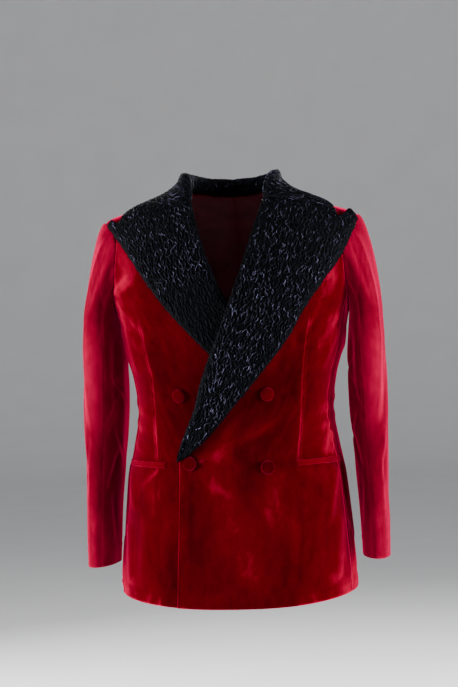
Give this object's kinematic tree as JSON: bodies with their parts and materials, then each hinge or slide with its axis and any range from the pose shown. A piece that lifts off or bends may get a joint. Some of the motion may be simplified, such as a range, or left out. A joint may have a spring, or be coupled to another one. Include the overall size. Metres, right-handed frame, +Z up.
{
  "type": "smoking jacket",
  "caption": "Double-breasted velvet smoking jacket with a wide pointed collar of curled black fur, worn and hollow.",
  "frame": {"origin": "midway between the two side-neck points, on the line of the shoulder seams, where the wearer's shoulders carry the jacket", "axes": "+Z up, -Y out of the jacket's front, +X to the wearer's left; the closing button, the hips and the hem hang below the origin"},
  "size_m": [0.5496, 0.2967, 0.7711],
  "materials": {
    "velvet": "deep crimson velvet pile",
    "curled_fur": "black curled lamb fur with a dull sheen"
  },
  "bodies": {
    "root": {"front_left": "velvet", "front_right": "velvet", "back_left": "velvet", "back_right": "velvet", "side_left": "velvet", "side_right": "velvet", "sleeve_upper_left": "velvet", "sleeve_upper_right": "velvet", "sleeve_under_left": "velvet", "sleeve_under_right": "velvet", "hip_welt_left": "velvet", "hip_welt_right": "velvet", "breast_welt": "velvet", "button_upper_right": "velvet", "button_upper_left": "velvet", "button_closing": "velvet", "button_lower_left": "velvet", "lapel_left": "curled_fur", "lapel_right": "curled_fur", "collar": "curled_fur"}
  },
  "joints": []
}
